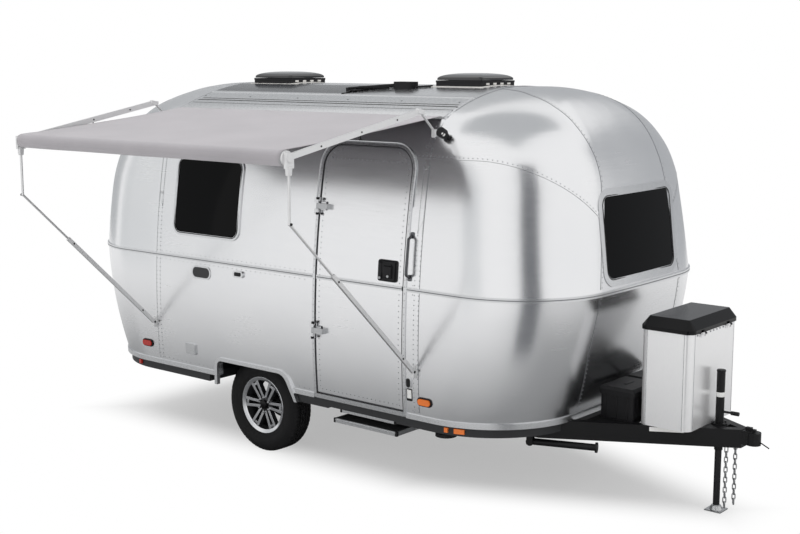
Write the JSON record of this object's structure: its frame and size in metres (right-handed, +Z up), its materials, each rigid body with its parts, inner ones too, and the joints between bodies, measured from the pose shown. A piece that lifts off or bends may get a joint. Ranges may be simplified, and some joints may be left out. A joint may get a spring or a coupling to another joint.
{
  "type": "travel caravan",
  "caption": "Single-axle travel caravan with a rounded riveted aluminium body, a side door, a roll-out awning, a folding step, roof vents and a hitch jack.",
  "frame": {"origin": "on the ground, on the centreline, below the axle", "axes": "+X forward to the hitch, +Y to the street side, +Z up; the door and awning are on -Y"},
  "size_m": [5.8005, 3.7352, 2.958],
  "materials": {
    "polished_skin": "polished",
    "trim_aluminium": "satin",
    "window_glass": "gloss",
    "black_frame": "satin",
    "tyre_rubber": "matte",
    "wheel_alloy": "machined",
    "awning_cloth": "woven",
    "white_plastic": "satin",
    "black_plastic": "matte",
    "dark_steel": "satin",
    "smoked_acrylic": "gloss",
    "steel_plate": "brushed",
    "lamp_lens": "gloss",
    "dark_panel": "matte",
    "wood_deck": "matte",
    "gas_steel": "gloss",
    "belly_sheet": "matte"
  },
  "bodies": {
    "trailer": {"shell_curb_wall": "polished_skin", "shell_street_wall": "polished_skin", "shell_roof": "polished_skin", "shell_front_upper": "polished_skin", "shell_front_lower": "polished_skin", "shell_rear_upper": "polished_skin", "shell_rear_lower": "polished_skin", "belt_moulding": "trim_aluminium", "sill_moulding": "trim_aluminium", "floor_deck": "wood_deck", "belly_pan": "belly_sheet", "wheel_wells": "black_plastic", "window_frames": "trim_aluminium", "window_panes": "window_glass", "door_frame": "trim_aluminium", "grab_handle": "dark_steel", "chassis_frame": "black_frame", "axle_beam": "black_frame", "awning_rails": "trim_aluminium", "awning_roller": "trim_aluminium", "awning_fabric": "awning_cloth", "awning_arm_rear": "trim_aluminium", "awning_arm_front": "trim_aluminium", "vent_bases": "white_plastic", "solar_panel": "dark_panel", "roof_antenna": "black_plastic", "hitch_coupler": "black_frame", "hitch_latch": "black_frame", "jack_tube": "black_frame", "safety_chains": "steel_plate", "gas_cover": "trim_aluminium", "gas_bottles": "gas_steel", "battery_boxes": "black_plastic", "underbody_brackets": "black_frame", "drain_outlet": "black_plastic", "marker_lamps": "lamp_lens", "wall_fittings": "trim_aluminium", "porch_lamp": "black_plastic"},
    "wheel_curb": {"rim_curb": "wheel_alloy", "tyre_curb": "tyre_rubber"},
    "wheel_street": {"rim_street": "wheel_alloy", "tyre_street": "tyre_rubber"},
    "door": {"door_leaf": "polished_skin", "door_belt": "trim_aluminium", "door_hinge_straps": "steel_plate", "door_latch": "black_plastic"},
    "jack_leg": {"jack_leg": "black_frame"},
    "gas_lid": {"gas_lid": "black_plastic"},
    "vent_lid_rear": {"vent_lid_rear": "smoked_acrylic"},
    "vent_lid_front": {"vent_lid_front": "smoked_acrylic"},
    "stabiliser_front_curb": {"stabiliser_front_curb": "black_frame"},
    "stabiliser_front_street": {"stabiliser_front_street": "black_frame"},
    "stabiliser_rear_curb": {"stabiliser_rear_curb": "black_frame"},
    "stabiliser_rear_street": {"stabiliser_rear_street": "black_frame"},
    "step_link_upper": {"step_link_upper": "black_frame"},
    "step_tread_upper": {"step_tread_upper": "steel_plate"},
    "step_link_lower": {"step_link_lower": "black_frame"},
    "step_tread_lower": {"step_tread_lower": "steel_plate"}
  },
  "joints": [
    {"name": "wheel_spin_curb", "type": "hinge", "parent": "trailer", "child": "wheel_curb", "pos_m": [0, -0.928, 0.372], "axis": [0, 1, 0], "continuous": true},
    {"name": "wheel_spin_street", "type": "hinge", "parent": "trailer", "child": "wheel_street", "pos_m": [0, 0.928, 0.372], "axis": [0, 1, 0], "continuous": true},
    {"name": "door_hinge", "type": "hinge", "parent": "trailer", "child": "door", "pos_m": [0.784, -1.26399, 1.12], "axis": [0, -0.0736, -0.9973], "range_deg": [0, 165]},
    {"name": "jack_extend", "type": "slide", "parent": "trailer", "child": "jack_leg", "axis": [0, 0, 1], "range_m": [0, 0.34]},
    {"name": "gas_lid_hinge", "type": "hinge", "parent": "trailer", "child": "gas_lid", "pos_m": [3.34, 0, 1.267], "axis": [0, 1, 0], "range_deg": [0, 95]},
    {"name": "vent_hinge_rear", "type": "hinge", "parent": "trailer", "child": "vent_lid_rear", "pos_m": [-0.862, 0, 2.916], "axis": [0, -1, 0], "range_deg": [0, 60]},
    {"name": "vent_hinge_front", "type": "hinge", "parent": "trailer", "child": "vent_lid_front", "pos_m": [1.078, 0, 2.916], "axis": [0, -1, 0], "range_deg": [0, 60]},
    {"name": "stabiliser_fold_front_curb", "type": "hinge", "parent": "trailer", "child": "stabiliser_front_curb", "pos_m": [2.29, -0.67, 0.436], "axis": [-0.342, 0.9397, 0], "range_deg": [0, 60]},
    {"name": "stabiliser_fold_front_street", "type": "hinge", "parent": "trailer", "child": "stabiliser_front_street", "pos_m": [2.29, 0.67, 0.436], "axis": [0.342, 0.9397, 0], "range_deg": [0, 60]},
    {"name": "stabiliser_fold_rear_curb", "type": "hinge", "parent": "trailer", "child": "stabiliser_rear_curb", "pos_m": [-1.29, -0.67, 0.436], "axis": [0, -1, 0], "range_deg": [0, 60]},
    {"name": "stabiliser_fold_rear_street", "type": "hinge", "parent": "trailer", "child": "stabiliser_rear_street", "pos_m": [-1.29, 0.67, 0.436], "axis": [0, -1, 0], "range_deg": [0, 60]},
    {"name": "step_fold", "type": "hinge", "parent": "trailer", "child": "step_link_upper", "pos_m": [1.195, -0.98, 0.535], "axis": [-1, 0, 0], "range_deg": [0, 109]},
    {"name": "step_tread_upper_level", "type": "hinge", "parent": "step_link_upper", "child": "step_tread_upper", "pos_m": [1.195, -0.78775, 0.47987], "axis": [-1, 0, 0], "range_deg": [-109, 0]},
    {"name": "step_link_lower_swing", "type": "hinge", "parent": "step_tread_upper", "child": "step_link_lower", "pos_m": [1.195, -0.78775, 0.47987], "axis": [-1, 0, 0], "range_deg": [0, 109]},
    {"name": "step_tread_lower_level", "type": "hinge", "parent": "step_link_lower", "child": "step_tread_lower", "pos_m": [1.195, -0.59549, 0.42474], "axis": [-1, 0, 0], "range_deg": [-109, 0]}
  ],
  "couplings": [
    {"joint": "step_tread_upper_level", "follows": "step_fold", "ratio": -1},
    {"joint": "step_link_lower_swing", "follows": "step_fold", "ratio": 1},
    {"joint": "step_tread_lower_level", "follows": "step_fold", "ratio": -1}
  ]
}
